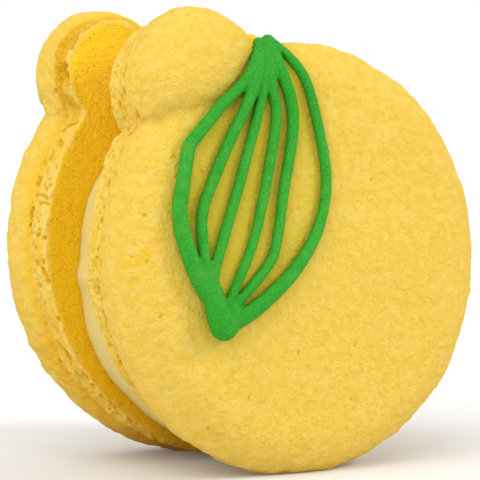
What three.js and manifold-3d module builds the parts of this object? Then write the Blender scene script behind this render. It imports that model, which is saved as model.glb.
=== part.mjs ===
// A French macaron in the shape of a lemon, standing on its edge.
// Two almond shells, each a round body with a small round nub, hold a disc of cream filling between
// their flat faces. A leaf of piped icing lies on the dome of the front shell.
//
// Units are millimetres and degrees, +Z is up and the front shell faces -Y. The origin is on the
// surface that the macaron stands on, under the middle of its box.
//
// The pieces are modelled upright in the sandwich's own frame: X across, Z up and Y through the
// sandwich, with the origin halfway between the flat faces on the front shell's axis. The sandwich
// then leans back a little, because its back shell sits higher than its front one.

import * as THREE from "three";
import { mergeVertices } from "three/addons/utils/BufferGeometryUtils.js";
import Module from "manifold-3d";

const { degToRad, radToDeg, seededRandom } = THREE.MathUtils;

// ---- Driving dimensions ----

const stand = {
  lean: 2.8, // how far the sandwich leans back from upright
  height: 24.15, // from the surface to the front shell's axis
  backward: 1.03, // from the origin, which is under the middle of the macaron's box
};

const faceGap = 5.4; // between the two flat faces
const touchGap = 0.3; // between pieces that lie on each other

// Each shell has two outlines: the foot's, round the flat face, and the wider dome's.
// An outline is the body's circle blended with the nub's circle, whose centre lies at a distance
// from the body's centre and at an angle from straight up, negative towards -X. The front shell's
// body swells out beside the nub by its shoulder.
const frontShell = {
  side: -1, // which way it lies from the middle of the sandwich, along Y
  raised: 0,
  dome: { radius: 25, shoulder: 0.8, nubRadius: 8.6, nubDistance: 24.3, nubAngle: -32 },
  foot: { radius: 23, shoulder: 0.8, nubRadius: 7.9, nubDistance: 23.1, nubAngle: -30 },
  seed: 11,
};
const backShell = {
  side: 1,
  raised: 1.8,
  dome: { radius: 25.7, shoulder: 0, nubRadius: 7.9, nubDistance: 24.2, nubAngle: -33.2 },
  foot: { radius: 25.2, shoulder: 0, nubRadius: 5.8, nubDistance: 26.2, nubAngle: -37.5 },
  seed: 23,
};
const shoulderPlace = { angle: -52, spread: 15 };
const neckBlend = 1.2; // rounds the corner where the two circles meet

// The side of a shell, from the flat face outwards: depth from the flat face, then the outline that
// the ring follows, and how far inside that outline it lies. roughness is how craggy the ring is.
const flatFaceInset = 1.3;
const sideProfile = [
  { depth: 0, outline: "foot", inset: flatFaceInset, roughness: 0.2 },
  { depth: 0.3, outline: "foot", inset: 0.1, roughness: 0.4 },
  { depth: 1.3, outline: "foot", inset: -0.05, roughness: 1 },
  { depth: 2.5, outline: "foot", inset: -0.05, roughness: 1 },
  { depth: 3.5, outline: "foot", inset: 0.1, roughness: 1 },
  { depth: 4.2, outline: "foot", inset: 0.35, roughness: 0.6 }, // the groove under the skirt
  { depth: 4.8, outline: "dome", inset: 0.95, roughness: 0.4 }, // the skirt's lower edge
  { depth: 5.7, outline: "dome", inset: 0.4, roughness: 0.1 },
  { depth: 6.9, outline: "dome", inset: 0.1, roughness: 0 },
  { depth: 8.3, outline: "dome", inset: 0, roughness: 0 }, // the widest line
];
const widestDepth = sideProfile.at(-1).depth;

// The dome above the widest line is a rounded edge and a low crown. The nub has a dome of its own,
// and a crease runs between the two, bowed towards the body.
const dome = {
  edgeWidth: 5,
  edgeHeight: 3.7,
  bodyCrown: 1.7,
  nubCrown: 0.8,
  creaseDistance: 21.9, // from the body's centre, towards the nub
  creaseBow: 0.05, // how much further out it runs, per square millimetre of sideways distance
  creaseOverlap: 1.0, // how far each dome reaches past the crease: less makes the crease deeper
  creaseBlend: 0.6,
  sideBlend: 1.0,
};
const icingBridge = { height: 0.8, reach: 2.2 }; // how icing spans the crease, and how far round it

// Uneven baking: long low bumps all over, and short crags on the foot.
const unevenness = { bumpSize: 0.13, bumpLength: 9, cragSize: 0.26, cragLength: 3.6 };
const cragRise = 0.4; // how far a crag leans along the sandwich for its height

const filling = { radius: 21.2, lowered: 1.05, bulge: 0.3, cornerRadius: 0.8, waviness: 0.18 };

// The leaf's strands, as points (x, z) on the front dome from the stem to the tip, with the
// thickness of the icing at the start, the middle and the end.
const strands = [
  {
    points: [[-5.4, 25], [-6.8, 23.3], [-8.7, 20.7], [-12.5, 16.9], [-15.9, 13.8], [-17.1, 11.9],
      [-18.3, 7.1], [-18, 3], [-16.7, -0.8], [-15.3, -3.3]],
    thickness: [1.2, 1.6, 2.1],
  },
  {
    points: [[-4.9, 25], [-5.8, 23.2], [-8.1, 19.4], [-11.3, 14.4], [-14, 9.5], [-15.6, 5.6],
      [-15.5, 1], [-14.8, -3.4]],
    thickness: [1.4, 1.4, 1.3],
  },
  {
    points: [[-4.3, 25], [-5.8, 22], [-8.2, 15.6], [-11, 8.1], [-13.3, 2.2], [-14.4, -1.2],
      [-14.3, -3.9]],
    thickness: [1.2, 1.3, 1.3],
  },
  {
    points: [[-3.8, 24.9], [-5.1, 22], [-5.5, 19.4], [-5.4, 16.1], [-7.4, 8], [-9.4, 2], [-12.7, -4.6]],
    thickness: [1.3, 1.3, 1.1],
  },
  {
    points: [[-3.3, 24.8], [-4.1, 22.3], [-3.1, 16.3], [-4.9, 7.9], [-6.3, 1.9], [-7.7, -0.6],
      [-11.8, -4.8]],
    thickness: [1.6, 1.3, 1.2],
  },
  {
    points: [[-3, 24.7], [-2.3, 23.2], [-0.5, 19.3], [0.9, 10.3], [-0.3, 4.2], [-3.7, -0.7],
      [-8.8, -4.8], [-12.9, -6.9]],
    thickness: [1.2, 1.3, 2.1],
  },
];
const leafTip = { points: [[-14.7, -2.8], [-14.4, -4.8], [-13.7, -6.9]], thickness: [2.2, 2.9, 3.2] };
const icingFlatness = 0.8; // height of a strand over its width

const segments = { aroundShell: 108, aroundFilling: 56, aroundStrand: 8, stepLength: 1.6 };
const endTurns = [30, 60]; // rings on a strand's round ends, as degrees of their turn
const edgeTurns = [18, 36, 54, 72, 90]; // rings on a dome's rounded edge, as degrees of its turn
const topShares = [0.93, 0.87, 0.81, 0.74, 0.62, 0.42, 0.21]; // rings inside it, closest at the crease

// ---- Shapes ----

// Smallest and largest of two values, with the corner rounded over the width of the blend.
function smoothMin(a, b, blend) {
  const h = Math.max(1 - Math.abs(a - b) / blend, 0);
  return Math.min(a, b) - (h * h * blend) / 4;
}

function smoothMax(a, b, blend) {
  return -smoothMin(-a, -b, blend);
}

// A smooth field from about -1 to 1: the mean of some waves in seeded directions.
function unevenField(seed, wavelength) {
  const waveCount = 9;
  seededRandom(seed);
  const waves = Array.from({ length: waveCount }, () => {
    const across = new THREE.Vector3(seededRandom() - 0.5, seededRandom() - 0.5, seededRandom() - 0.5);
    const stretch = 0.7 + 0.6 * seededRandom();
    across.setLength((2 * Math.PI * stretch) / wavelength);
    return { across, phase: 2 * Math.PI * seededRandom() };
  });
  const scale = Math.sqrt(2 / waveCount);
  return (point) =>
    scale * waves.reduce((sum, wave) => sum + Math.sin(wave.across.dot(point) + wave.phase), 0);
}

// Radius of the body's part of an outline, in the direction of a place (x, z).
function bodyRadius(outline, x, z) {
  const turn = (radToDeg(Math.atan2(x, z)) - shoulderPlace.angle) / shoulderPlace.spread;
  return outline.radius + outline.shoulder * Math.exp(-(turn ** 2));
}

// How far an outline lies from the body's centre, at an angle from +X towards +Z.
function outlineRadius(outline, angle) {
  const nub = degToRad(outline.nubAngle);
  const nubX = outline.nubDistance * Math.sin(nub);
  const nubZ = outline.nubDistance * Math.cos(nub);
  const along = nubX * Math.cos(angle) + nubZ * Math.sin(angle);
  const reach = along ** 2 - outline.nubDistance ** 2 + outline.nubRadius ** 2;
  const body = bodyRadius(outline, Math.cos(angle), Math.sin(angle));
  if (reach < 0 || along < 0) return body;
  return smoothMax(body, along + Math.sqrt(reach), neckBlend);
}

// Angles that divide a shell's outline into steps of equal length, so that its neck gets as many
// points for its length as its round parts.
function evenAngles(outline, count) {
  const samples = 1440;
  const corner = (i) => {
    const angle = (2 * Math.PI * i) / samples;
    const radius = outlineRadius(outline, angle);
    return new THREE.Vector2(radius * Math.cos(angle), radius * Math.sin(angle));
  };
  const lengths = [0];
  for (let i = 0; i < samples; i += 1) {
    lengths.push(lengths[i] + corner(i).distanceTo(corner(i + 1)));
  }
  const angles = [];
  let i = 0;
  for (let k = 0; k < count; k += 1) {
    const target = (lengths[samples] * k) / count;
    while (lengths[i + 1] <= target) i += 1;
    const part = (target - lengths[i]) / (lengths[i + 1] - lengths[i]);
    angles.push((2 * Math.PI * (i + part)) / samples);
  }
  return angles;
}

// Height of one rounded edge at a distance inside it: a quarter of an ellipse, then level.
function edgeHeight(distance) {
  const t = THREE.MathUtils.clamp(distance / dome.edgeWidth, 0, 1);
  return dome.edgeHeight * Math.sqrt(1 - (1 - t) ** 2);
}

function crown(height, distance, radius) {
  return height * Math.max(1 - (distance / radius) ** 2, 0);
}

// A place (x, z) on a shell as its distance towards the nub, sideways of that, and past the crease.
function fromCrease(outline, x, z) {
  const nub = degToRad(outline.nubAngle);
  const along = x * Math.sin(nub) + z * Math.cos(nub);
  const sideways = x * Math.cos(nub) - z * Math.sin(nub);
  return { along, sideways, pastCrease: along - dome.creaseDistance - dome.creaseBow * sideways ** 2 };
}

// Height of a shell's dome above its widest line, at (x, z) from the body's centre.
function domeHeight(outline, x, z) {
  const { nubRadius, nubDistance } = outline;
  const radius = bodyRadius(outline, x, z);
  const { along, sideways, pastCrease } = fromCrease(outline, x, z);
  const fromBody = Math.hypot(x, z);
  const fromNub = Math.hypot(along - nubDistance, sideways);
  const insideBody = smoothMin(radius - fromBody, dome.creaseOverlap - pastCrease, dome.sideBlend);
  const insideNub = smoothMin(nubRadius - fromNub, dome.creaseOverlap + pastCrease, dome.sideBlend);
  return smoothMax(
    edgeHeight(insideBody) + crown(dome.bodyCrown, fromBody, radius),
    edgeHeight(insideNub) + crown(dome.nubCrown, fromNub, nubRadius),
    dome.creaseBlend,
  );
}

// Height of the standing surface in the sandwich's own frame, at a place through the sandwich.
function floorHeight(y) {
  const lean = degToRad(stand.lean);
  return (y * Math.sin(lean) - stand.height) / Math.cos(lean);
}

// A closed solid through rings of points, all of one count, with a middle point at each end.
// Seen from the end, the rings run anticlockwise.
function loft(rings, startPoint, endPoint) {
  const count = rings[0].length;
  const points = [...rings.flat(), startPoint, endPoint];
  const start = points.length - 2;
  const end = points.length - 1;
  const lastRing = (rings.length - 1) * count;
  const faces = [];
  for (let i = 0; i < count; i += 1) {
    const next = (i + 1) % count;
    faces.push(start, next, i, end, lastRing + i, lastRing + next);
    for (let base = 0; base < lastRing; base += count) {
      faces.push(base + i, base + next, base + count + next);
      faces.push(base + i, base + count + next, base + count + i);
    }
  }
  const geometry = new THREE.BufferGeometry().setFromPoints(points);
  geometry.setIndex(faces);
  geometry.computeVertexNormals();
  return geometry;
}

// ---- Pieces ----

for (const shell of [frontShell, backShell]) {
  shell.bumps = unevenField(shell.seed, unevenness.bumpLength);
  shell.crags = unevenField(shell.seed + 1, unevenness.cragLength);
}

// The long low bumps of a shell at (x, z) from its body's centre.
function bumpHeight(shell, x, z) {
  return unevenness.bumpSize * shell.bumps(new THREE.Vector3(x, 0, z));
}

// Where a dome point lies in the sandwich's frame.
function onDome(shell, x, z) {
  const depth = widestDepth + domeHeight(shell.dome, x, z) + bumpHeight(shell, x, z);
  return new THREE.Vector3(x, shell.side * (faceGap / 2 + depth), z + shell.raised);
}

// The side of a shell at an angle, from its flat face out to its widest line.
function sidePoints(shell, angle) {
  return sideProfile.map(({ depth, outline, inset, roughness }) => {
    const radius = outlineRadius(shell[outline], angle) - inset;
    const x = radius * Math.cos(angle);
    const z = radius * Math.sin(angle);
    const crag = unevenness.cragSize * roughness * shell.crags(new THREE.Vector3(x, depth, z));
    const out = 1 + (crag + bumpHeight(shell, x, z)) / radius;
    const y = shell.side * (faceGap / 2 + (depth === 0 ? 0 : depth + cragRise * crag));
    return new THREE.Vector3(x * out, y, z * out + shell.raised);
  });
}

// The dome of a shell at an angle, from its rounded edge in towards its middle.
function domePoints(shell, angle) {
  const edge = outlineRadius(shell.dome, angle);
  const radii = [
    ...edgeTurns.map((turn) => edge - dome.edgeWidth * (1 - Math.cos(degToRad(turn)))),
    ...topShares.map((share) => (edge - dome.edgeWidth) * share),
  ];
  return radii.map((radius) => onDome(shell, radius * Math.cos(angle), radius * Math.sin(angle)));
}

function makeShell(shell) {
  const angles = evenAngles(shell.dome, segments.aroundShell);
  if (shell.side > 0) angles.reverse(); // keeps the faces pointing out on both shells
  const columns = angles.map((angle) => [...sidePoints(shell, angle), ...domePoints(shell, angle)]);
  const rings = columns[0].map((_, i) => columns.map((column) => column[i]));
  for (const point of rings.flat()) point.z = Math.max(point.z, floorHeight(point.y));
  const flatMiddle = new THREE.Vector3(0, (shell.side * faceGap) / 2, shell.raised);
  return loft(rings, flatMiddle, onDome(shell, 0, 0));
}

function makeFilling() {
  const waves = unevenField(5, 14);
  const half = faceGap / 2 - touchGap;
  const corner = filling.cornerRadius;
  const profile = [
    { y: half, inset: corner },
    { y: half - corner * 0.3, inset: corner * 0.3 },
    { y: half - corner, inset: 0 },
    { y: 0, inset: -filling.bulge },
    { y: corner - half, inset: 0 },
    { y: corner * 0.3 - half, inset: corner * 0.3 },
    { y: -half, inset: corner },
  ];
  const rings = profile.map(({ y, inset }) =>
    Array.from({ length: segments.aroundFilling }, (_, i) => {
      const angle = (2 * Math.PI * i) / segments.aroundFilling;
      const spot = new THREE.Vector3(Math.cos(angle), 0, Math.sin(angle)).multiplyScalar(filling.radius);
      spot.y = y;
      const radius = filling.radius - inset + filling.waviness * waves(spot);
      return new THREE.Vector3(radius * Math.cos(angle), y, radius * Math.sin(angle) - filling.lowered);
    }),
  );
  const middle = (y) => new THREE.Vector3(0, y, -filling.lowered);
  return loft(rings, middle(half), middle(-half));
}

// The way out of the front dome at (x, z), from the slope of the dome.
function domeNormal(x, z) {
  const step = 0.2;
  const acrossX = onDome(frontShell, x + step, z).sub(onDome(frontShell, x - step, z));
  const acrossZ = onDome(frontShell, x, z + step).sub(onDome(frontShell, x, z - step));
  return acrossX.cross(acrossZ).normalize();
}

// Thickness of a strand at a share of its length, from its start, middle and end values.
function thicknessAt([start, middle, end], share) {
  return share < 0.5
    ? THREE.MathUtils.lerp(start, middle, share * 2)
    : THREE.MathUtils.lerp(middle, end, share * 2 - 1);
}

// One strand of icing: a round-ended tube that lies on the front dome along its points.
function makeStrand({ points, thickness }) {
  const route = new THREE.CatmullRomCurve3(points.map(([x, z]) => new THREE.Vector3(x, 0, z)));
  const steps = Math.max(Math.round(route.getLength() / segments.stepLength), 5);
  const centre = (share) => {
    const { x, z } = route.getPointAt(share);
    const normal = domeNormal(x, z);
    const half = thicknessAt(thickness, share) / 2;
    const fromMiddle = fromCrease(frontShell.dome, x, z).pastCrease / icingBridge.reach;
    const lift = touchGap + half * icingFlatness + icingBridge.height * Math.exp(-(fromMiddle ** 2));
    return { spot: onDome(frontShell, x, z).addScaledVector(normal, lift), normal, half };
  };
  const ringAt = ({ spot, normal, half }, along, size) => {
    const sideways = new THREE.Vector3().crossVectors(along, normal).normalize();
    return Array.from({ length: segments.aroundStrand }, (_, i) => {
      const turn = (2 * Math.PI * i) / segments.aroundStrand;
      return spot
        .clone()
        .addScaledVector(normal, half * size * icingFlatness * Math.cos(turn))
        .addScaledVector(sideways, half * size * Math.sin(turn));
    });
  };
  const stops = Array.from({ length: steps + 1 }, (_, i) => centre(i / steps));
  const rings = stops.map((stop, i) => {
    const before = stops[Math.max(i - 1, 0)].spot;
    const after = stops[Math.min(i + 1, steps)].spot;
    return ringAt(stop, after.clone().sub(before).normalize(), 1);
  });
  const moved = (stop, out, share) => stop.spot.clone().addScaledVector(out, stop.half * share);
  const roundEnd = (stop, before, sign) => {
    const out = stop.spot.clone().sub(before.spot).normalize();
    const along = out.clone().multiplyScalar(sign);
    const capRings = endTurns.map(degToRad).map((turn) => {
      const spot = moved(stop, out, Math.sin(turn));
      return ringAt({ ...stop, spot }, along, Math.cos(turn));
    });
    return { capRings, end: moved(stop, out, 1) };
  };
  const first = roundEnd(stops[0], stops[1], -1);
  const last = roundEnd(stops[steps], stops[steps - 1], 1);
  return loft([...first.capRings.reverse(), ...rings, ...last.capRings], first.end, last.end);
}

const wasm = await Module();
wasm.setup();

function toSolid(geometry) {
  const bare = geometry.clone();
  bare.deleteAttribute("normal");
  const merged = mergeVertices(bare, 1e-4);
  const triVerts = new Uint32Array(merged.index.array);
  const vertProperties = new Float32Array(merged.attributes.position.array);
  return new wasm.Manifold(new wasm.Mesh({ numProp: 3, vertProperties, triVerts }));
}

function toGeometry(solid) {
  const mesh = solid.getMesh();
  const geometry = new THREE.BufferGeometry();
  geometry.setAttribute("position", new THREE.BufferAttribute(mesh.vertProperties, 3));
  geometry.setIndex(new THREE.BufferAttribute(mesh.triVerts, 1));
  geometry.computeVertexNormals();
  return geometry;
}

function makeLeaf() {
  const pieces = [...strands, leafTip].map((strand) => toSolid(makeStrand(strand)));
  return toGeometry(pieces.reduce((leaf, piece) => leaf.add(piece)));
}

// ---- Materials and assembly ----

const finishes = {
  almondShell: { color: 0xf0c850, roughness: 0.75, metalness: 0 },
  cream: { color: 0xe6cd82, roughness: 0.6, metalness: 0 },
  greenIcing: { color: 0x2fa838, roughness: 0.55, metalness: 0 },
};

function makeMesh(name, geometry, finish) {
  const mesh = new THREE.Mesh(geometry, new THREE.MeshStandardMaterial(finish));
  mesh.name = name;
  return mesh;
}

const sandwich = new THREE.Group();
sandwich.position.set(0, stand.backward, stand.height);
sandwich.rotation.x = -degToRad(stand.lean);
sandwich.add(
  makeMesh("shell_front", makeShell(frontShell), finishes.almondShell),
  makeMesh("shell_back", makeShell(backShell), finishes.almondShell),
  makeMesh("filling", makeFilling(), finishes.cream),
  makeMesh("leaf_icing", makeLeaf(), finishes.greenIcing),
);

const macaron = new THREE.Group();
macaron.add(sandwich);

export default macaron;
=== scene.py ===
import bpy
import math
from itertools import product
import numpy as np
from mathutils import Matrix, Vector


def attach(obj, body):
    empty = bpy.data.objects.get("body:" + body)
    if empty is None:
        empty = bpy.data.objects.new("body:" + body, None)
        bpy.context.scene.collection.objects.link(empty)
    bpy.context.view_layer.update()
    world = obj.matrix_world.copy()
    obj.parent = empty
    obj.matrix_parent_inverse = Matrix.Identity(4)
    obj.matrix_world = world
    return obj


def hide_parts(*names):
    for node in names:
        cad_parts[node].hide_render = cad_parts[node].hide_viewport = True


# A lemon-shaped French macaron on its edge: two baked almond shells, cream filling and a piped leaf.
# Shapes are worked out in millimetres in the sandwich's own frame (X across, Y through it, Z up),
# then leaned back and written in metres.

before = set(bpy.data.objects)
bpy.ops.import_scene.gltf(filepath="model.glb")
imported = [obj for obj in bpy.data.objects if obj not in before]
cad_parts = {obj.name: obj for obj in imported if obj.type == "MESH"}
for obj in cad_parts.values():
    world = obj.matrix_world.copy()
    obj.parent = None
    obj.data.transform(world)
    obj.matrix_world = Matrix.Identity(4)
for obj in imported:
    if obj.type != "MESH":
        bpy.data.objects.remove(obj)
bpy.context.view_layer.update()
print("frame loaded:", ", ".join(sorted(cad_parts)))

millimetre = 0.001
stand = {"lean": 2.8, "height": 24.15, "backward": 1.03}  # degrees, then mm from the origin
faceGap = 5.4  # between the two flat faces

camera = {
    "azimuth": -32.3,  # degrees; 0 looks along +Y
    "elevation": 4.1,
    "distance": 340,
    "target": (-0.58, 1.03, 26.26),
    "lens": 213.45,
    "sensor": 36,
    "clipStart": 0.01,
}


def toWorld(points):
    lean = math.radians(stand["lean"])
    x, y, z = points[..., 0], points[..., 1], points[..., 2]
    leanedY = y * math.cos(lean) + z * math.sin(lean) + stand["backward"]
    leanedZ = z * math.cos(lean) - y * math.sin(lean) + stand["height"]
    return np.stack([x, leanedY, leanedZ], axis=-1) * millimetre


def aimedObject(name, data, place, target):
    thing = bpy.data.objects.new(name, data)
    bpy.context.scene.collection.objects.link(thing)
    thing.location = Vector(place) * millimetre
    aim = (Vector(target) - Vector(place)).to_track_quat("-Z", "Y")
    thing.rotation_euler = aim.to_euler()
    return thing


def makeCamera():
    azimuth, elevation = math.radians(camera["azimuth"]), math.radians(camera["elevation"])
    back = Vector((
        math.sin(azimuth) * math.cos(elevation),
        -math.cos(azimuth) * math.cos(elevation),
        math.sin(elevation),
    ))
    data = bpy.data.cameras.new("camera")
    data.lens = camera["lens"]
    data.sensor_width = camera["sensor"]
    data.clip_start = camera["clipStart"]
    place = Vector(camera["target"]) + back * camera["distance"]
    bpy.context.scene.camera = aimedObject("camera", data, place, camera["target"])


class Socket:
    # An output of a node, on which arithmetic adds Math nodes
    def __init__(self, shader, link):
        self.shader = shader
        self.link = link

    def __add__(self, other):
        return self.shader.maths("ADD", self, other)

    def __radd__(self, other):
        return self.shader.maths("ADD", other, self)

    def __sub__(self, other):
        return self.shader.maths("SUBTRACT", self, other)

    def __rsub__(self, other):
        return self.shader.maths("SUBTRACT", other, self)

    def __mul__(self, other):
        return self.shader.maths("MULTIPLY", self, other)

    def __rmul__(self, other):
        return self.shader.maths("MULTIPLY", other, self)

class Shader:
    # The node tree of a material, or of the world
    def __init__(self, name, world=None):
        self.owner = world or bpy.data.materials.new(name)
        self.owner.use_nodes = True
        self.tree = self.owner.node_tree
        self.surface = self.tree.nodes["Background" if world else "Principled BSDF"]

    def plug(self, socket, value):
        if isinstance(value, Socket):
            self.tree.links.new(value.link, socket)
        elif socket.type == "RGBA" and len(value) == 3:
            socket.default_value = (*value, 1)
        else:
            socket.default_value = value

    def node(self, kind, settings, sockets, output=0):
        made = self.tree.nodes.new(kind)
        for key, value in settings.items():
            if key == "stops":
                for _ in range(len(value) - len(made.color_ramp.elements)):
                    made.color_ramp.elements.new(1)
                for element, (position, grey) in zip(made.color_ramp.elements, value):
                    element.position = position
                    element.color = (grey, grey, grey, 1)
            else:
                setattr(made, key, value)
        for key, value in sockets.items():
            self.plug(made.inputs[key], value)
        return Socket(self, made.outputs[output])

    def maths(self, operation, a, b):
        return self.node("ShaderNodeMath", {"operation": operation}, {0: a, 1: b})

    def mix(self, factor, a, b, blend="MIX"):
        settings = {"data_type": "RGBA", "blend_type": blend}
        return self.node("ShaderNodeMix", settings, {0: factor, 6: a, 7: b}, 2)

    def noise(self, place, size, detail=2, rough=0.5):
        # size is about how many mm one lump is across
        sockets = {"Vector": place, "Scale": 1 / (size * millimetre), "Detail": detail, "Roughness": rough}
        return self.node("ShaderNodeTexNoise", {}, sockets)

    def cells(self, place, size, settings):
        sockets = {"Vector": place, "Scale": 1 / (size * millimetre)}
        return self.node("ShaderNodeTexVoronoi", settings, sockets, "Distance")

    def ramp(self, value, *stops):
        return self.node("ShaderNodeValToRGB", {"stops": stops}, {"Fac": value})

    def painted(self, name):
        return self.node("ShaderNodeAttribute", {"attribute_name": name}, {}, "Fac")

    def place(self, kind="Object"):
        return self.node("ShaderNodeTexCoord", {}, {}, kind)

    def bump(self, height, distance, strength=1.0, normal=None):
        sockets = {"Height": height, "Distance": distance * millimetre, "Strength": strength}
        if normal is not None:
            sockets["Normal"] = normal
        return self.node("ShaderNodeBump", {}, sockets)

    def finish(self, **sockets):
        for key, value in sockets.items():
            self.plug(self.surface.inputs[key], value)
        return self.owner


lights = {
    # towards each light, how soft it is in degrees, and its strength
    "key": {"from": (0.62, -0.55, 0.56), "softness": 18, "strength": 1.55, "colour": (1.0, 0.985, 0.96)},
    "fill": {"from": (-0.8, -0.35, 0.75), "softness": 75, "strength": 2.1, "colour": (1.0, 1.0, 1.0)},
    "top": {"from": (0.0, 0.2, 1.0), "softness": 90, "strength": 1.0, "colour": (1.0, 1.0, 1.0)},
    "away": 500,
    "sky": ((0.0, 0.3), (0.46, 1.01), (0.56, 1.01), (0.7, 0.3), (1.0, 0.3)),  # from below to above
}


def makeLights():
    for name in ("key", "fill", "top"):
        values = lights[name]
        data = bpy.data.lights.new(name, "SUN")
        data.angle = math.radians(values["softness"])
        data.energy = values["strength"]
        data.color = values["colour"]
        aimedObject(name, data, Vector(values["from"]) * lights["away"], (0, 0, 0))
    sky = Shader("sky", bpy.data.worlds.new("studio"))
    height = sky.node("ShaderNodeSeparateXYZ", {}, {0: sky.place("Generated")}, 2)
    sky.plug(sky.surface.inputs["Color"], sky.ramp(0.5 + 0.5 * height, *lights["sky"]))
    bpy.context.scene.world = sky.owner
    bpy.context.scene.view_settings.view_transform = "Standard"


def hashed(cell, seed):
    # a fixed random number from 0 to 1 for each cell of a lattice; the large numbers only stir the bits
    mixed = cell[..., 0] * 73856093 ^ cell[..., 1] * 19349663 ^ cell[..., 2] * 83492791 ^ seed * 6542989
    mixed = (mixed ^ (mixed >> 13)) * 1274126177 & 0xFFFFFFFF
    mixed = (mixed ^ (mixed >> 15)) * 2246822519 & 0xFFFFFFFF
    return (mixed ^ (mixed >> 16)) / 2**32


def softNoise(points, size, seed):
    # from -1 to 1, with lumps about size across
    place = points / size
    cell = np.floor(place).astype(np.int64)
    part = place - cell
    part = part**3 * (part * (part * 6 - 15) + 10)  # eased, so that cells meet smoothly
    total = np.zeros(points.shape[:-1])
    for corner in product((0, 1), repeat=3):
        weight = np.prod(np.where(corner, part, 1 - part), axis=-1)
        total += weight * hashed(cell + np.array(corner), seed)
    return total * 2 - 1


def layeredNoise(points, size, seed, layers=3):
    total = np.zeros(points.shape[:-1])
    for layer in range(layers):
        total += softNoise(points, size / 2**layer, seed + layer) / 2**layer
    return total / (2 - 2 ** (1 - layers))


def scattered(points, size, seed):
    # distance to the nearest of points scattered about size apart, and that point's random number
    place = points / size
    cell = np.floor(place).astype(np.int64)
    nearest = np.full(points.shape[:-1], np.inf)
    number = np.zeros(points.shape[:-1])
    for offset in product((-1, 0, 1), repeat=3):
        other = cell + np.array(offset)
        spot = other + np.stack([hashed(other, seed + axis) for axis in range(3)], axis=-1)
        distance = np.linalg.norm(place - spot, axis=-1)
        closer = distance < nearest
        nearest = np.where(closer, distance, nearest)
        number = np.where(closer, hashed(other, seed + 7), number)
    return nearest * size, number


def rise(low, high, value):
    # 0 before low, 1 past high, smooth between; it falls where low is the greater
    t = np.clip((value - low) / (high - low), 0, 1)
    return t * t * (3 - 2 * t)


frontShell = {
    "side": -1,
    "raised": 0,
    "dome": {
        "radius": 25, "shoulder": 0.8, "nubRadius": 8.6, "nubDistance": 24.3, "nubAngle": -32,
        "neckBlend": 1.2,
    },
    "foot": {
        "radius": 23, "shoulder": 0.8, "nubRadius": 7.9, "nubDistance": 23.1, "nubAngle": -30,
        "neckBlend": 1.2,
    },
    "seed": 11,
}
backShell = {
    "side": 1,
    "raised": 1.8,
    "dome": {
        "radius": 25.7, "shoulder": 0, "nubRadius": 7.9, "nubDistance": 24.2, "nubAngle": -33.2,
        "neckBlend": 3,
    },
    "foot": {
        "radius": 25.2, "shoulder": 0, "nubRadius": 5.8, "nubDistance": 26.2, "nubAngle": -37.5,
        "neckBlend": 3.5,
    },
    "seed": 23,
}
shellForm = {
    "shoulderAngle": -52,
    "shoulderSpread": 15,
    "edgeWidth": 5,
    "edgeHeight": 3.7,
    "bodyCrown": 1.7,
    "nubCrown": 0.8,
    "creaseDistance": 21.5,
    "creaseBow": 0.05,
    "creaseTilt": 0.1,
    "creaseOverlap": 1.3,
    "creaseBody": 1.5,  # the body rises steeply out of the crease, the nub gently
    "creaseNub": 0.8,
    "creaseBlend": 1.0,
    "sideBlend": 1.0,
    "widestDepth": 8.3,
    "columns": 1000,
    "outlineSteps": 7201,
    "sideStep": 0.14,
    "edgeRings": 22,
    "topRings": 58,
    "topMiddle": 0.02,  # the smallest ring, as a share of the largest
    "flatRings": [0.05, 0.4, 0.7, 0.8, *np.linspace(0.83, 0.992, 16)],
}
# the side from the flat face outwards: depth, share of the dome's outline, inset from the outline
sideProfile = np.array([
    (0.0, 0, 0.3),
    (0.05, 0, 0.15),
    (0.2, 0, 0.02),
    (0.6, 0, -0.08),
    (1.3, 0, -0.2),
    (2.2, 0, -0.25),
    (3.1, 0, -0.12),
    (3.8, 0.06, 0.15),
    (4.25, 0.35, 0.55),
    (4.6, 0.8, 0.92),
    (4.9, 1, 0.88),
    (5.25, 1, 0.6),
    (5.8, 1, 0.36),
    (6.5, 1, 0.17),
    (7.3, 1, 0.05),
    (8.3, 1, 0.0),
])


def smoothMin(a, b, blend):
    h = np.maximum(1 - np.abs(a - b) / blend, 0)
    return np.minimum(a, b) - h * h * blend / 4


def smoothMax(a, b, blend):
    return -smoothMin(-a, -b, blend)


def nubDirection(outline):
    angle = math.radians(outline["nubAngle"])
    return math.sin(angle), math.cos(angle)


def bodyRadius(outline, x, z):
    turn = (np.degrees(np.arctan2(x, z)) - shellForm["shoulderAngle"]) / shellForm["shoulderSpread"]
    return outline["radius"] + outline["shoulder"] * np.exp(-turn**2)


def outlineRadius(outline, angle):
    nubX, nubZ = nubDirection(outline)
    distance = outline["nubDistance"]
    along = distance * (nubX * np.cos(angle) + nubZ * np.sin(angle))
    reach = along**2 - distance**2 + outline["nubRadius"] ** 2
    # outside the nub it falls away steeply, so that the neck is one smooth curve
    far = np.where(along > 0, along + np.sign(reach) * np.sqrt(np.abs(reach)), 0.0)
    return smoothMax(bodyRadius(outline, np.cos(angle), np.sin(angle)), far, outline["neckBlend"])


def evenAngles(outline, count):
    # angles that divide the outline into steps of equal length
    angle = np.linspace(0, 2 * math.pi, shellForm["outlineSteps"])
    radius = outlineRadius(outline, angle)
    x, z = radius * np.cos(angle), radius * np.sin(angle)
    length = np.concatenate([[0], np.cumsum(np.hypot(np.diff(x), np.diff(z)))])
    return np.interp(np.arange(count) / count * length[-1], length, angle)


def edgeHeight(distance):
    t = np.clip(distance / shellForm["edgeWidth"], 0, 1)
    return shellForm["edgeHeight"] * np.sqrt(np.maximum(1 - (1 - t) ** 2, 0))


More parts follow.
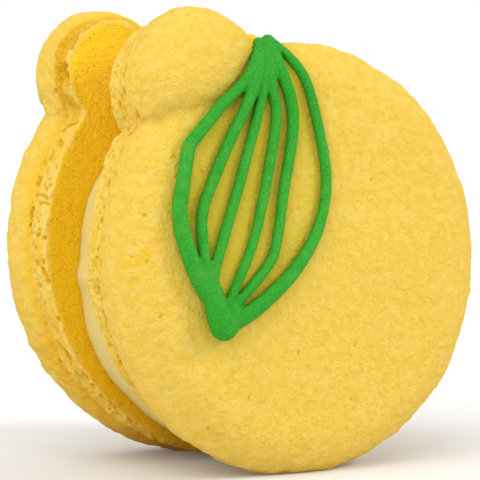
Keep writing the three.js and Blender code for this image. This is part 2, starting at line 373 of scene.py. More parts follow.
def fromCrease(outline, x, z):
    nubX, nubZ = nubDirection(outline)
    along = x * nubX + z * nubZ
    sideways = x * nubZ - z * nubX
    past = along - shellForm["creaseDistance"]
    past += shellForm["creaseTilt"] * np.minimum(sideways, 0) - shellForm["creaseBow"] * sideways**2
    return along, sideways, past


def domeHeight(outline, x, z):
    along, sideways, past = fromCrease(outline, x, z)
    fromBody = np.hypot(x, z)
    fromNub = np.hypot(along - outline["nubDistance"], sideways)
    overlap, blend = shellForm["creaseOverlap"], shellForm["sideBlend"]
    radius = bodyRadius(outline, x, z)
    insideBody = smoothMin(radius - fromBody, shellForm["creaseBody"] * (overlap - past), blend)
    insideNub = smoothMin(outline["nubRadius"] - fromNub, shellForm["creaseNub"] * (overlap + past), blend)
    bodyCrown = shellForm["bodyCrown"] * np.maximum(1 - (fromBody / radius) ** 2, 0)
    nubCrown = shellForm["nubCrown"] * np.maximum(1 - (fromNub / outline["nubRadius"]) ** 2, 0)
    body, nub = edgeHeight(insideBody) + bodyCrown, edgeHeight(insideNub) + nubCrown
    return smoothMax(body, nub, shellForm["creaseBlend"])


def smoothPath(points, step, fineness=24):
    # a Catmull-Rom curve through the points, cut into pieces of about one length
    padded = np.concatenate([points[:1] * 2 - points[1:2], points, points[-1:] * 2 - points[-2:-1]])
    fine = []
    for a, b, c, d in zip(padded, padded[1:], padded[2:], padded[3:]):
        t = np.linspace(0, 1, fineness, endpoint=False)[:, None]
        fine.append(0.5 * (2 * b + (c - a) * t + (2 * a - 5 * b + 4 * c - d) * t**2
                           + (3 * b - a - 3 * c + d) * t**3))
    fine = np.concatenate([*fine, points[-1:]])
    length = np.concatenate([[0], np.cumsum(np.linalg.norm(np.diff(fine, axis=0), axis=1))])
    stops = np.linspace(0, length[-1], max(int(length[-1] / step), 4) + 1)
    return np.stack([np.interp(stops, length, column) for column in fine.T], axis=-1)


def gridNormals(grid):
    # outward normals of a grid of rings, which close on themselves sideways
    along = np.gradient(grid, axis=0)
    around = (np.roll(grid, -1, axis=1) - np.roll(grid, 1, axis=1)) / 2
    normal = np.cross(along, around)
    return normal / np.linalg.norm(normal, axis=-1, keepdims=True)


def gridFaces(rings, columns, flipped):
    # quads between the rings, and a fan to a middle point at each end
    ring, column = np.meshgrid(np.arange(rings - 1), np.arange(columns), indexing="ij")
    here, nextColumn = ring * columns + column, ring * columns + (column + 1) % columns
    quads = np.stack([here, nextColumn, nextColumn + columns, here + columns], axis=-1).reshape(-1, 4)
    around = np.arange(columns)
    start, end, last = rings * columns, rings * columns + 1, (rings - 1) * columns
    opening = np.stack([np.full(columns, start), (around + 1) % columns, around], axis=-1)
    closing = np.stack([np.full(columns, end), last + around, last + (around + 1) % columns], axis=-1)
    faces = [*quads.tolist(), *opening.tolist(), *closing.tolist()]
    return [face[::-1] for face in faces] if flipped else faces


def makeObject(name, points, faces, masks, material, node):
    mesh = bpy.data.meshes.new(name)
    mesh.from_pydata(toWorld(points).tolist(), [], faces)
    mesh.update()
    mesh.polygons.foreach_set("use_smooth", [True] * len(mesh.polygons))
    for key, values in masks.items():
        mesh.attributes.new(key, "FLOAT", "POINT").data.foreach_set("value", values.astype(np.float32))
    mesh.materials.append(material)
    piece = bpy.data.objects.new(name, mesh)
    bpy.context.scene.collection.objects.link(piece)
    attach(piece, "root")
    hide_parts(node)
    print(f"{name}: {len(mesh.vertices)} points")
    return piece


relief = {
    # heights in mm, each with the size of its lumps
    "waves": (0.2, 8.0),
    "lumps": (0.05, 2.2),
    "edgeLumps": (0.25, 1.6),
    "grain": (0.028, 0.6),
    "footWaves": (0.2, 4.2),
    "footLumps": (0.2, 1.8),
    "rimCrumbs": (0.25, 0.8),
    "flatFace": (0.03, 2.2),
    "grooveWander": (0.5, 4.0),
    "crumbShift": (0.25, 0.9),
    "ragged": (0.2, 0.8),  # how uneven the pockets' edges are
    "crumbs": {"size": 1.05, "height": 0.45, "middle": 0.6},  # middle is the share that stays level
    "specks": {"size": 0.5, "height": 0.32, "middle": 0.5},
    "crumbReach": 0.8,  # in crumb sizes; over 0.5, so that neighbours overlap
    "pits": {"spacing": 2.6, "radius": 0.22, "share": 0.3, "depth": 0.1},
    "holes": {"spacing": 1.0, "radius": 0.26, "share": 0.35, "depth": 0.5},
    "groovePits": {"spacing": 0.8, "radius": 0.34, "share": 0.5, "depth": 0.5, "width": 0.5},
    "groovePitsRaised": 0.1,
    "holeEdge": (1, 0.35),  # shares of the radius between which a hole deepens
    "pocketEdge": (1.1, 0.5),
    "rimAt": 0.2,
    "rimWidth": 0.3,
    "rimLeast": 0.5,  # how rough the rim is away from the nub, as a share
    "borderWidth": 0.3,
    "borderSize": 0.8,
    "borderBreaks": (0.7, 1.2),  # its strength, and how much that varies
    "borderNub": (0.4, 0.8),  # its strength on the body, and how much more on the nub
}
zones = {
    # where the parts of a shell begin and are full, or fade and are gone, in mm
    "flatEnds": (0.16, 0.02),  # from the flat face
    "footStarts": (0, 0.35),
    "toastStarts": (0.1, 0.5),
    "wanderStarts": (1.5, 3),
    "groove": 4.5,
    "sideEnds": (12.5, 9.5),
    "footEnds": (0.1, -0.5),  # from the groove
    "domeStarts": (0, 0.9),
    "skirtStarts": (-0.3, 0.2),
    "skirtEnds": (2.3, 0.4),
    "toastEnds": (0.7, 0),
    "lowStarts": (-1, 0),
    "nub": (-1, 2),  # past the crease
    "toastedNub": (-4, 0.5),
    # painted shade low on the back shell's side
    "lowPart": (2, -16),  # up from the middle
    # painted shade at the bottom of the back shell, where it meets the floor
    "underneath": (-20, -24.5),
    "tall": (-25, 25),
}
baking = {
    # how crumbly the feet are, how brown the back shell is, and how much shade is painted low on it, from
    # place to place
    "crumbledSize": 3.0,
    "crumbledLeast": 0.4,
    "crumbledNub": 0.6,
    "blotches": (-0.3, 0.3),  # noise between these fades a blotch in
    "toastSize": 1.5,
    "toastLeast": 0.7,
    "toastedCrumbs": (1, 0.85),  # the tops of the crumbs stay paler
    "toastedCrumbLeast": 0.4,
    # the blotches and strength of the painted shade low on the back shell
    "lowSize": 3,
    "lowBlotches": (-0.6, 0.4),
    "lowShade": 0.6,
    "pitShade": 0.7,
}
# the larger pockets and cracks in the feet, and the dots and scuffs on the front dome:
# radius and depth, then where they run, as x, depth and z
pockets = {
    "front": [
        (0.45, 0.45, (-21.2, 6.9, 22.4)), (0.5, 0.5, (-21.3, 6.6, 21.5)),
        (0.4, 0.35, (-21.1, 5.5, 20.6)), (0.55, 0.5, (-21.3, 6.5, 19.7)),
        (0.4, 0.4, (-21.1, 5.8, 19.0)), (0.6, 0.6, (-19.4, 2.2, 18.3)), (0.4, 0.35, (-20.8, 5.9, 17.8)),
        (0.35, 0.35, (-20.2, 6.6, 24.8)), (0.35, 0.3, (-20.6, 6.5, 23.9)),
        (0.35, 0.3, (-19.1, 1.7, 22.8)),
        (0.25, 0.2, (-20.8, 8.2, 17.4), (-20.6, 8.0, 16.7), (-20.4, 7.6, 15.8)),
        (0.3, 0.4, (-20.6, 7.6, 15.5), (-20.9, 7.4, 15.1), (-20.9, 6.5, 14.7)),
        (0.3, 0.25, (-21.8, 6.1, 12.9)), (0.3, 0.25, (-21.8, 6.6, 13.3)),
        (0.45, 0.4, (-22.9, 6.7, 10.5)), (0.55, 0.55, (-21.5, 2.7, 9.5)), (0.4, 0.4, (-23.2, 5.8, 8.8)),
        (0.5, 0.6, (-23.4, 5.6, 8.0), (-23.5, 5.5, 7.5)), (0.35, 0.4, (-22.3, 2.7, 6.8)),
        (0.35, 0.35, (-22.5, 2.2, 6.1)), (0.4, 0.35, (-22.6, 2.9, 5.2)),
        (0.35, 0.35, (-22.8, 2.4, 4.4)), (0.45, 0.55, (-24.4, 5.8, 3.4)), (0.4, 0.4, (-23.1, 2.8, 1.8)),
        (0.3, 0.3, (-23.2, 2.4, 1.0)), (0.3, 0.3, (-24.8, 6.3, 0.6)), (0.3, 0.3, (-23.2, 2.5, -0.4)),
        (0.35, 0.4, (-23.2, 2.4, -1.6)), (0.4, 0.45, (-23.1, 2.1, -2.6)),
        (0.45, 0.45, (-22.9, 2.7, -4.0)), (0.5, 0.45, (-22.5, 2.7, -5.5)),
        (0.55, 0.6, (-22.2, 2.8, -6.5)), (0.35, 0.4, (-22.0, 2.7, -7.4)),
        (0.35, 0.35, (-21.7, 2.5, -8.3)), (0.45, 0.45, (-21.2, 2.5, -9.5)),
        (0.35, 0.4, (-20.8, 2.4, -10.5)), (0.45, 0.45, (-20.3, 2.5, -11.3)),
        (0.35, 0.4, (-21.5, 5.8, -12.0)), (0.4, 0.4, (-18.7, 2.1, -13.8)),
        (0.35, 0.3, (-17.4, 1.5, -15.3)), (0.35, 0.35, (-16.7, 1.8, -16.2)),
    ],
    "dots": [
        (0.2, 0.2, (-19.3, 12.2, 11.4)), (0.22, 0.2, (-15.0, 12.8, 10.4)),
        (0.2, 0.2, (-22.0, 11.7, 5.8)), (0.22, 0.2, (-22.1, 12.0, 0.7)),
        (0.22, 0.2, (-20.7, 12.3, -5.6)), (0.2, 0.15, (-18.4, 12.3, 12.4)),
        (0.15, 0.12, (-23.5, 11.1, 1.2)), (0.15, 0.12, (-23.3, 9.9, 8.3)),
        (0.2, 0.2, (-14.3, 11.3, -18.4)), (0.18, 0.15, (-3.1, 13.4, -10.4)),
        (0.18, 0.15, (4.4, 12.9, -16.4)), (0.15, 0.12, (-9.6, 12.8, -15.2)),
        (0.15, 0.12, (11.9, 13.3, -4.1)), (0.15, 0.12, (7.7, 13.3, 9.1)),
        (0.15, 0.12, (1.4, 12.6, -19.6)),
    ],
    "scuffs": [
        (0.6, 0.06, (-22.0, 12.0, 1.8), (-22.4, 11.9, 1.3), (-23.0, 11.5, 0.8)),
        (0.6, 0.06, (-23.0, 11.5, 0.5), (-23.8, 10.9, 0.4), (-24.2, 10.4, 0.1)),
        (0.5, 0.06, (-23.2, 11.3, -1.3), (-23.7, 10.9, -1.7)),
        (0.35, 0.05, (-23.3, 11.1, -3.6), (-23.7, 10.7, -3.6)),
        (0.3, 0.05, (-20.5, 12.5, 3.0), (-20.9, 12.4, 2.3)),
    ],
    "back": [
        (1, 1, (-21.9, 1.5, 20.8)), (0.7, 0.7, (-21.9, 2.7, 20.9)), (0.8, 1, (-21.8, 0.8, 20.0)),
        (0.6, 0.6, (-21.9, 1.9, 21.5)), (0.5, 0.6, (-21.8, 0.8, 21.4)), (0.5, 0.4, (-21.7, 3.6, 20.2)),
        (0.6, 0.5, (-21.8, 2.5, 19.7)), (0.5, 0.6, (-21.6, 0.7, 19.2)), (0.5, 0.4, (-21.6, 2.4, 18.9)),
        (0.4, 0.35, (-20.6, 5.3, 18.5)), (0.6, 0.6, (-21.0, 2.2, 17.7)), (0.6, 0.5, (-20.2, 2.5, 16.8)),
        (0.2, 0.7, (-17.6, 0.3, 26.4), (-18.4, 0.3, 26.1), (-19.1, 0.3, 25.7), (-19.8, 0.3, 25.2)),
        (0.25, 0.8, (-20.1, 0.3, 24.8), (-20.4, 0.3, 24.5), (-20.7, 0.3, 24.1), (-21.2, 0.3, 23.4)),
        (0.4, 0.3, (-21.2, 2.2, 23.8)), (0.35, 0.3, (-20.7, 2.1, 24.5)),
        (0.28, 0.5, (-20.5, 0.5, 14.8), (-20.8, 1.2, 14.6), (-21.1, 1.8, 14.2), (-21.4, 2.7, 13.8)),
        (0.4, 0.45, (-22.1, 1.9, 12.6), (-22.3, 1.1, 12.2)),
        (0.25, 0.3, (-22.8, 2.4, 11.3), (-23.1, 2.4, 10.7), (-23.2, 3.1, 10.2)),
        (0.45, 0.45, (-23.1, 2.8, 10.5)), (0.35, 0.35, (-21.7, 3.6, 12.6)),
        (0.4, 0.3, (-23.5, 4.7, 7.7)), (0.35, 0.3, (-24.4, 1.2, 7.1)),
        (0.22, 0.25, (-24.4, 3.5, 6.2), (-24.6, 1.9, 6.5), (-24.5, 0.7, 6.1)),
        (0.22, 0.25, (-24.9, 2.2, 5.5), (-24.7, 1.1, 5.6), (-24.6, 0.3, 5.3)),
        (0.25, 0.35, (-24.3, 4.8, 4.9), (-24.5, 4.9, 4.1), (-24.4, 4.6, 3.4)),
        (0.35, 0.4, (-24.6, 4.8, 2.9)),
        (0.22, 0.3, (-25.2, 2.9, 2.5), (-24.6, 4.6, 1.6), (-25.4, 2.8, 1.2)),
        (0.45, 0.45, (-25.4, 2.5, 0.8)), (0.3, 0.3, (-25.2, 1.8, 3.3)), (0.35, 0.35, (-25.3, 1.2, 2.5)),
        (0.28, 0.3, (-25.4, 1.4, 1.7)), (0.35, 0.45, (-25.2, 0.3, 1.5)), (0.3, 0.35, (-25.4, 1.8, 0.2)),
        (0.45, 0.35, (-25.3, 0.7, -1.3)), (0.4, 0.35, (-25.4, 2.1, -1.5)),
        (0.3, 0.3, (-25.3, 2.7, -2.5)), (0.45, 0.6, (-25.3, 1.1, -2.2), (-25.2, 0.8, -2.8)),
        (0.45, 0.55, (-25.0, 0.5, -3.5)), (0.35, 0.35, (-25.1, 2.4, -4.2)),
        (0.25, 0.5, (-24.8, 2.5, -5.5), (-24.6, 2.4, -6.3), (-24.5, 2.5, -6.8), (-24.3, 2.5, -7.4)),
        (0.28, 0.6, (-24.2, 2.5, -7.7), (-24.0, 2.4, -8.4), (-23.8, 2.4, -9.0)),
        (0.4, 0.4, (-23.9, 0.3, -8.0)), (0.35, 0.3, (-23.6, 1.5, -9.5)),
        (0.35, 0.4, (-23.1, 1.9, -10.7)), (0.25, 0.35, (-23.0, 1.8, -10.9), (-22.7, 1.8, -11.5)),
        (0.6, 0.8, (-22.4, 1.4, -11.9)), (0.4, 0.5, (-22.1, 1.5, -12.5), (-21.8, 1.5, -13.1)),
        (0.4, 0.4, (-21.5, 1.7, -13.7)), (0.45, 0.5, (-20.9, 1.5, -14.5)),
        (0.3, 0.3, (-20.5, 0.7, -14.8), (-20.0, 0.8, -15.5)), (0.4, 0.4, (-19.4, 0.7, -16.3)),
        (0.35, 0.3, (-18.3, 0.7, -17.5)), (0.5, 0.5, (-16.8, 0.5, -18.9)),
        (0.35, 0.5, (-17.4, 0.3, -18.3)), (0.25, 0.35, (-16.2, 0.5, -19.4), (-15.7, 0.8, -19.9)),
        (0.3, 0.6, (-14.8, 0.3, -20.4), (-14.3, 0.4, -20.8), (-13.6, 0.3, -21.2)),
        (0.25, 0.5, (-12.5, 0.3, -21.9), (-11.6, 0.3, -22.4), (-11.0, 0.3, -22.7)),
    ],
}


def floorHeight(y):
    lean = math.radians(stand["lean"])
    return (y * math.sin(lean) - stand["height"]) / math.cos(lean)


def shellGrid(shell):
    # rings of (x, depth, z) from the middle of the flat face, over the side, to the dome's middle
    angle = evenAngles(shell["dome"], shellForm["columns"])
    domeEdge, footEdge = outlineRadius(shell["dome"], angle), outlineRadius(shell["foot"], angle)
    profile = smoothPath(sideProfile, shellForm["sideStep"])
    depth, share, inset = (profile[:, [k]] for k in range(3))
    share = np.clip(share, 0, 1)
    side = footEdge * (1 - share) + domeEdge * share - inset
    sideDepth = np.repeat(np.maximum(depth, 0), len(angle), axis=1)
    flat = side[:1] * np.array(shellForm["flatRings"])[:, None]
    turn = np.linspace(0, math.pi / 2, shellForm["edgeRings"] + 1)[1:, None]
    edge = domeEdge - shellForm["edgeWidth"] * (1 - np.cos(turn))
    topShares = np.linspace(1, shellForm["topMiddle"], shellForm["topRings"] + 1)[1:, None]
    top = (domeEdge - shellForm["edgeWidth"]) * topShares
    over = np.concatenate([edge, top])
    x, z = over * np.cos(angle), over * np.sin(angle)
    overDepth = shellForm["widestDepth"] + domeHeight(shell["dome"], x, z)
    radius = np.concatenate([flat, side, over])
    depths = np.concatenate([np.zeros_like(flat), sideDepth, overDepth])
    return np.stack([radius * np.cos(angle), depths, radius * np.sin(angle)], axis=-1)


def zone(name, value):
    return rise(*zones[name], value)


def layer(points, name, seed, layers=1):
    height, size = relief[name]
    return height * layeredNoise(points, size, seed, layers)


def holesIn(points, values, seed):
    # round holes scattered about, from 0 to 1 towards their middles
    distance, number = scattered(points, values["spacing"], seed)
    reach = values["radius"] * (0.5 + number / values["share"])
    return (number < values["share"]) * rise(*relief["holeEdge"], distance / reach)


def crumbsOn(points, values, seed):
    # rounded crumbs packed together, from 0 between them to 1 on top
    distance, number = scattered(points, values["size"], seed)
    reach = distance / values["size"] / relief["crumbReach"]
    return np.sqrt(np.maximum(1 - reach**2, 0)) * (0.5 + 0.5 * number)


def fromPath(points, path):
    # distance to a path of straight pieces, or to one place
    nearest = np.linalg.norm(points - path[0], axis=-1)
    for start, end in zip(path, path[1:]):
        step = end - start
        share = np.clip(((points - start) @ step) / (step @ step), 0, 1)
        away = points - start - share[..., None] * step
        nearest = np.minimum(nearest, np.linalg.norm(away, axis=-1))
    return nearest


def carved(points, pieces, seed):
    # how deep, and how far into a pocket each point lies
    points = points + np.stack([layer(points, "ragged", seed + axis, 3) for axis in range(3)], axis=-1)
    depth, mask = np.zeros(points.shape[:-1]), np.zeros(points.shape[:-1])
    for radius, deepness, *path in pieces:
        inside = rise(*relief["pocketEdge"], fromPath(points, np.array(path)) / radius)
        depth = np.maximum(depth, deepness * inside)
        mask = np.maximum(mask, inside)
    return depth, mask


def nearLeaf(grid):
    # painted shade and green bounce light: the dome is darker and greener close to the icing, most of all
    # between the outer strands
    x, z = grid[..., 0], grid[..., 2]
    routes = [np.array(route) for route, _ in leaf["strands"]]
    near = sum(np.exp(-((fromPath(grid[..., [0, 2]], route) / leaf["paintedTone"]) ** 2)) for route in routes)
    inside = rise(*leaf["shadeStarts"], z) * rise(*leaf["shadeEnds"], z)
    for strand, side in ((0, 1), (5, -1)):
        edge = np.interp(z, routes[strand][::-1, 1], routes[strand][::-1, 0])
        inside *= rise(-leaf["shadeEdge"], leaf["shadeEdge"], side * (x - edge))
    outside = leaf["shadeOutside"]
    return np.clip(near, 0, 1) * (outside + (1 - outside) * inside)


def footRelief(grid, foot, nub, seed):
    # the foot's crumbs, its rough rim against the flat face, and how crumbly each place is
    crumbled = softNoise(grid * (1, 0.6, 1), baking["crumbledSize"], seed + 15) + baking["crumbledNub"] * nub
    least = baking["crumbledLeast"]
    crumbled = least + (1 - least) * rise(*baking["blotches"], crumbled)
    shifted = grid + layer(grid, "crumbShift", seed + 16)[..., None]
    crumbs = crumbsOn(shifted, relief["crumbs"], seed + 24)
    specks = crumbsOn(grid, relief["specks"], seed + 30)
    height = foot * (layer(grid, "footWaves", seed + 20) + layer(grid, "footLumps", seed + 22, 2))
    for name, tops in (("crumbs", crumbs), ("specks", specks)):
        height += foot * crumbled * relief[name]["height"] * (tops - relief[name]["middle"])
    rim = np.exp(-(((grid[..., 1] - relief["rimAt"]) / relief["rimWidth"]) ** 2))
    least = relief["rimLeast"]
    height += rim * (least + (1 - least) * nub) * layer(grid, "rimCrumbs", seed + 36, 3)
    return height, crumbs, specks, crumbled, rim


def flatBorder(grid, shell, nub):
    # the broken edge of the flat face: pale crumb, with a painted highlight along the lip
    footEdge = outlineRadius(shell["foot"], np.arctan2(grid[..., 2], grid[..., 0]))
    fromEdge = footEdge - sideProfile[0, 2] - np.hypot(grid[..., 0], grid[..., 2])
    (middle, varied), (onBody, moreOnNub) = relief["borderBreaks"], relief["borderNub"]
    broken = middle + varied * layeredNoise(grid, relief["borderSize"], shell["seed"] + 80, 3)
    near = np.exp(-((fromEdge / relief["borderWidth"]) ** 2))
    return near * (onBody + moreOnNub * nub) * np.clip(broken, 0, 1)


def browningAndLowShade(grid, fromGroove, past, side, specks, seed):
    # the back shell is browner in its nub's foot; low down on its side it has painted shade, darker towards
    # the bottom and in blotches
    least = baking["toastLeast"]
    blotches = rise(*baking["blotches"], layeredNoise(grid, baking["toastSize"], seed + 85))
    nubFoot = zone("toastStarts", grid[..., 1]) * zone("toastEnds", fromGroove) * zone("toastedNub", past)
    nubFoot *= least + (1 - least) * blotches
    least = baking["toastedCrumbLeast"]
    nubFoot *= least + (1 - least) * rise(*baking["toastedCrumbs"], specks)
    low = zone("lowPart", grid[..., 2]) * zone("lowStarts", fromGroove) * side
    low *= rise(*baking["lowBlotches"], layeredNoise(grid, baking["lowSize"], seed + 90))
    return np.maximum(nubFoot, baking["lowShade"] * low)


def shellRelief(grid, shell):
    seed, depth, back = shell["seed"], grid[..., 1], shell["side"] > 0
    # the groove between the foot and the dome wanders up and down
    wander = layer(grid * (1, 0, 1), "grooveWander", seed + 1, 3) * zone("wanderStarts", depth)
    depth = depth - wander
    fromGroove = depth - zones["groove"]
    foot = zone("footStarts", depth) * zone("footEnds", fromGroove)
    flat = zone("flatEnds", grid[..., 1])
    dome = zone("domeStarts", fromGroove)
    side = zone("sideEnds", depth)
    past = fromCrease(shell["dome"], grid[..., 0], grid[..., 2])[2]
    nub = zone("nub", past)

    height = layer(grid, "waves", seed + 2) + dome * layer(grid, "lumps", seed + 3, 3)
    height += (1 - flat) * (layer(grid, "grain", seed + 6, 2) + side * layer(grid, "edgeLumps", seed + 9, 3))
    footHeight, crumbs, specks, crumbled, rim = footRelief(grid, foot, nub, seed)
    height += footHeight

    # pits in the dome, holes in the foot and pits along the groove
    pits = dome * holesIn(grid, relief["pits"], seed + 12)
    holes = foot * crumbled * holesIn(grid, relief["holes"], seed + 40)
    pitted = relief["groovePits"]
    near = np.exp(-(((fromGroove + relief["groovePitsRaised"]) / pitted["width"]) ** 2))
    groovePits = near * holesIn(grid, pitted, seed + 50)
    for name, sunk in (("pits", pits), ("holes", holes), ("groovePits", groovePits)):
        height -= relief[name]["depth"] * sunk
    cut, pocket = carved(grid, pockets["back"] if back else pockets["front"] + pockets["dots"], seed + 60)
    graze, scuff = carved(grid, [] if back else pockets["scuffs"], seed + 64)
    height -= cut + graze
    height = height * (1 - flat) + flat * layer(grid, "flatFace", seed + 70, 2)

    rim = np.maximum(rim * (1 - flat), flat * flatBorder(grid, shell, nub))
    # the holes, pockets and pits, which are painted in shade
    hole = np.max([holes, pocket, groovePits, baking["pitShade"] * pits], axis=0)
    lowest, highest = zones["tall"]
    masks = {
        "foot": foot,
        "flat": flat,
        "hole": np.clip(hole, 0, 1),
        "skirt": zone("skirtStarts", fromGroove) * zone("skirtEnds", fromGroove),
        "rim": np.clip(rim, 0, 1),
        "crumb": crumbs * crumbled,
        # browning in the back nub's foot, and painted shade low on the back shell's side
        "toast": back * browningAndLowShade(grid, fromGroove, past, side, specks, seed),
        "scuff": scuff,
        # painted shade where the back shell meets the floor
        "under": back * zone("underneath", grid[..., 2]),
        "tall": np.clip((grid[..., 2] - lowest) / (highest - lowest), 0, 1),
        # painted shade and green bounce light around the icing
        "soaked": np.zeros_like(depth) if back else dome * nearLeaf(grid),
    }
    return grid + gridNormals(grid) * height[..., None], masks


def makeShell(name, shell, material, node):
    grid = shellGrid(shell)
    grid, masks = shellRelief(grid, shell)
    rings, columns = grid.shape[:2]
    points = grid.reshape(-1, 3)
    middles = np.array([(0, 0, 0), (0, points[-columns:, 1].mean(), 0)])
    points = np.concatenate([points, middles])
    points[:, 1] = shell["side"] * (faceGap / 2 + points[:, 1])
    points[:, 2] += shell["raised"]
    points[:, 2] = np.maximum(points[:, 2], floorHeight(points[:, 1]))
    masks = {key: np.concatenate([value.ravel(), value[[0, -1], 0]]) for key, value in masks.items()}
    faces = gridFaces(rings, columns, shell["side"] < 0)
    makeObject(name, points, faces, masks, material, node)


shellColours = {
    "dome": (0.7, 0.48, 0.075),
    "domePale": (0.74, 0.54, 0.125),
    "domeOrange": (0.69, 0.42, 0.032),
    "domeDot": (0.68, 0.375, 0.015),
    "foot": (0.73, 0.52, 0.095),
    "footDeep": (0.71, 0.44, 0.03),
    "footLow": (0.69, 0.43, 0.04),
    "skirt": (0.73, 0.45, 0.024),
    # the foot's pale crumbly lip; along the flat face's edge also a painted highlight
    "rim": (0.75, 0.55, 0.135),
    "flat": (0.79, 0.47, 0.008),
    # painted light and shade on the flat face: lighter towards the top, darker towards the bottom
    "flatLitTop": (0.9, 0.575, 0.02),
    "flatShadedBottom": (0.7, 0.38, 0.004),
    "flatPore": (0.46, 0.18, 0.001),
    # painted shade in the holes, pockets and pits, in a deeper orange
    "pitShadeTone": (0.64, 0.34, 0.004),
    "scuff": (0.72, 0.45, 0.025),
    # browning in the back nub's foot, and painted shade low on the back shell's side
    "toast": (0.66, 0.35, 0.009),
    # painted shade where the back shell meets the floor
    "under": (0.5, 0.24, 0.004),
    # painted shade and green bounce light near the icing
    "soaked": (0.49, 0.39, 0.02),
    "grainPale": (0.8, 0.63, 0.22),
    "grainDark": (0.62, 0.37, 0.018),
}
shellGrain = {
    # sizes in mm, strengths as shares of 1, and ramps as stops of position and value
    "mottle": 1.1,
    "mottleRamp": ((0.4, 0), (0.62, 1)),
    "dots": 0.9,
    "dotRamp": ((0.1, 1), (0.2, 0)),
    "dotStrength": 0.7,
    "crumbRamp": ((0.1, 1), (0.45, 0)),
    "lowFootRamp": ((0.12, 0.8), (0.5, 0)),
    "skirtStrength": 0.8,
    "toastAndShadeStrength": 0.95,
    "soakedStrength": 0.9,
    "scuffStrength": 0.75,
    "pores": 0.36,
    "poreSpread": 0.7,  # how far apart the places with larger pores are
    "poreUnevenness": 0.8,
    "poreRamp": ((0.05, 1), (0.22, 0)),
    "poreStrength": 0.55,
    "poreDepth": 0.08,
    "poreBump": 0.5,
    # where the painted shade and light on the flat face fade in
    "flatShadeRamp": ((0.1, 1), (0.45, 0)),
    "flatLightRamp": ((0.55, 0), (0.9, 1)),
    "rimStrength": 0.6,
    # strength of the painted shade where the back shell meets the floor
    "underShadeStrength": 0.9,
    "grain": 0.24,
    "paleRamp": ((0.55, 0), (0.75, 1)),
    "paleStrength": 0.4,
    "darkRamp": ((0.28, 1), (0.45, 0)),
    "darkStrength": 0.35,
    "toastAndShadeSmoother": 0.8,  # the pale grain fades where the shell is brown, and where shade is painted low down
    # painted shade in the holes, pockets and pits
    "pitShadeRamp": ((0.1, 0), (0.7, 1)),
    "pitStrength": 0.85,
    "fineRough": (0.6, 0.34),  # weight, then size
    "coarseRough": (1.3, 0.9),
    "roughDepth": 0.22,
    "flatSmoother": 0.35,
    "shine": 0.12,
}


def makeShellMaterial():
    shader = Shader("almondShell")
    place = shader.place()
    foot, flat, rim = shader.painted("foot"), shader.painted("flat"), shader.painted("rim")
    hole, skirt, crumb = shader.painted("hole"), shader.painted("skirt"), shader.painted("crumb")
    toast, tall = shader.painted("toast"), shader.painted("tall")
    tones, grains = shellColours, shellGrain

    mottle = shader.ramp(shader.noise(place, grains["mottle"], 6, 0.65), *grains["mottleRamp"])
    dots = shader.ramp(shader.cells(place, grains["dots"], {}), *grains["dotRamp"])
    colour = shader.mix(mottle, tones["domeOrange"], tones["domePale"])
    colour = shader.mix(0.5, colour, tones["dome"])
    colour = shader.mix(dots * grains["dotStrength"], colour, tones["domeDot"])
    footTone = shader.mix(shader.ramp(crumb, *grains["crumbRamp"]), tones["foot"], tones["footDeep"])
    # the foot is darker and more orange towards the bottom
    footTone = shader.mix(shader.ramp(tall, *grains["lowFootRamp"]), footTone, tones["footLow"])
    colour = shader.mix(foot, colour, footTone)
    colour = shader.mix(skirt * grains["skirtStrength"], colour, tones["skirt"])
    # browning in the back nub's foot, and painted shade low on the back shell's side
    colour = shader.mix(toast * grains["toastAndShadeStrength"], colour, tones["toast"])
    # painted shade and green bounce light near the icing, then the orange scuffs
    for paintedTone in ("soaked", "scuff"):
        colour = shader.mix(shader.painted(paintedTone) * grains[paintedTone + "Strength"], colour, tones[paintedTone])

    # the flat face's pores lie on its own plane
    turned = shader.node("ShaderNodeMapping", {}, {0: place, "Rotation": (math.pi / 2, 0, 0)})
    sizes = shader.noise(place, grains["poreSpread"], 3)
    pores = shader.cells(turned, grains["pores"], {"voronoi_dimensions": "2D"})
    pores = shader.ramp(pores + grains["poreUnevenness"] * (0.5 - sizes), *grains["poreRamp"]) * flat
    # painted light and shade: the flat face is lighter towards the top and darker towards the bottom
    face = shader.mix(shader.ramp(tall, *grains["flatShadeRamp"]), tones["flat"], tones["flatShadedBottom"])
    face = shader.mix(shader.ramp(tall, *grains["flatLightRamp"]), face, tones["flatLitTop"])
    colour = shader.mix(flat, colour, face)
    colour = shader.mix(pores * grains["poreStrength"], colour, tones["flatPore"])
    # the foot's pale crumbly lip; along the flat face's edge also a painted highlight
    colour = shader.mix(rim * grains["rimStrength"], colour, tones["rim"])
    # painted shade where the back shell meets the floor
    colour = shader.mix(shader.painted("under") * grains["underShadeStrength"], colour, tones["under"])

    grain = shader.noise(place, grains["grain"], 4, 0.7)
    pale = shader.ramp(grain, *grains["paleRamp"]) * grains["paleStrength"]
    dark = shader.ramp(grain, *grains["darkRamp"]) * grains["darkStrength"]
    pale = pale * (1 - flat) * (1 - grains["toastAndShadeSmoother"] * toast)
    colour = shader.mix(pale, colour, tones["grainPale"])
    colour = shader.mix(dark, colour, tones["grainDark"])
    # painted shade in the holes, pockets and pits
    colour = shader.mix(shader.ramp(hole, *grains["pitShadeRamp"]) * grains["pitStrength"], colour, tones["pitShadeTone"])

    (fine, fineSize), (coarse, coarseSize) = grains["fineRough"], grains["coarseRough"]
    rough = fine * shader.noise(place, fineSize, 2) + coarse * shader.noise(place, coarseSize, 2)
    rough = rough * (1 - grains["flatSmoother"] * flat)
    normal = shader.bump(rough, grains["roughDepth"])
    normal = shader.bump(1 - pores, grains["poreDepth"], grains["poreBump"], normal)
    return shader.finish(**{
        "Base Color": colour,
        "Roughness": 0.7 + 0.2 * mottle,
        "Normal": normal,
        "Specular IOR Level": grains["shine"],
    })


